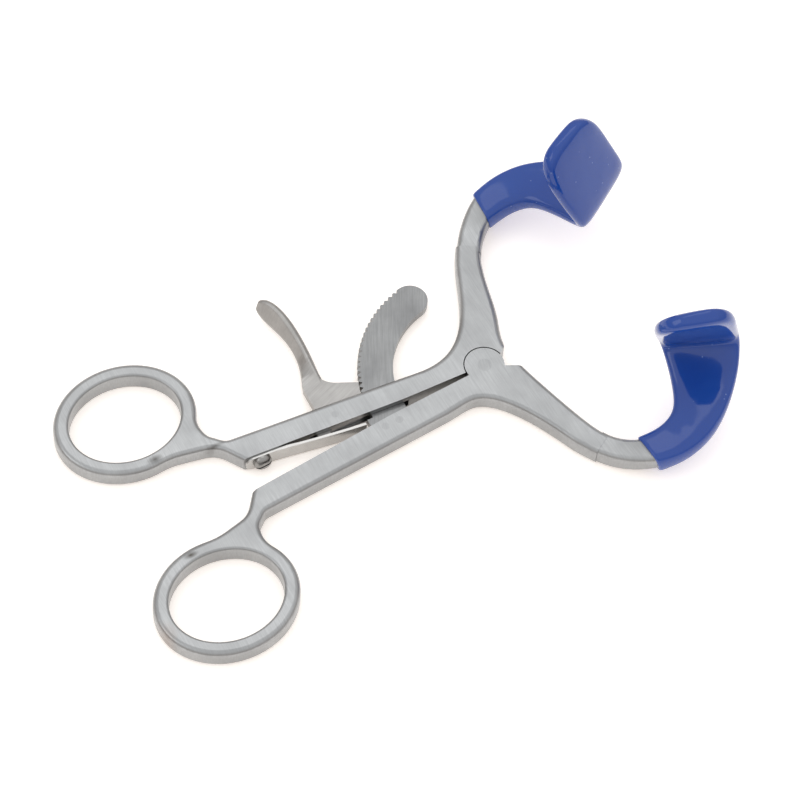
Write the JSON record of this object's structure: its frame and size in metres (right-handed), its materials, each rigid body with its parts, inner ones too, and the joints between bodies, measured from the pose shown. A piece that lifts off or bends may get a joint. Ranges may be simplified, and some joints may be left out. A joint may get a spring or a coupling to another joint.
{
  "type": "cheek retractor",
  "caption": "Ratchet cheek and mouth retractor: two ring-handled levers on one rivet with vinyl-covered jaws, held open by a toothed bar and a sprung release lever.",
  "frame": {"origin": "on the pivot rivet's axis, at the flat underside that the levers rest on", "axes": "+Z along the pivot axis, from the flat underside to the side that the jaws rise from; +X from the finger rings to the jaws; +Y to the lever that carries the release lever"},
  "size_m": [0.1428, 0.0848, 0.0379],
  "materials": {
    "forged_steel": "satin, brushed across the handles",
    "plate_steel": "satin, brushed",
    "rivet_steel": "ground flush",
    "spring_steel": "polished",
    "blue_vinyl": "glossy dipped vinyl"
  },
  "bodies": {
    "lower": {"lower_lever": "forged_steel", "pivot_pin": "rivet_steel", "ratchet_bar": "plate_steel", "ratchet_rivets": "rivet_steel", "lower_jaw_cover": "blue_vinyl"},
    "upper": {"upper_lever": "forged_steel", "upper_jaw_cover": "blue_vinyl", "leaf_spring": "spring_steel", "spring_screw": "spring_steel", "release_lever_pin": "rivet_steel"},
    "release": {"release_lever": "plate_steel"}
  },
  "joints": [
    {"name": "jaw_pivot", "type": "hinge", "parent": "lower", "child": "upper", "pos_m": [0, 0, 0], "axis": [0, 0, 1], "range_deg": [-38, 1.5]},
    {"name": "release_pivot", "type": "hinge", "parent": "upper", "child": "release", "pos_m": [-0.0356, 0.0039, 0.00245], "axis": [0, 0, 1], "range_deg": [0, 12], "stiffness_Nm_per_rad": 0.08, "springref_deg": -11.46, "deforming": ["leaf_spring"]}
  ]
}
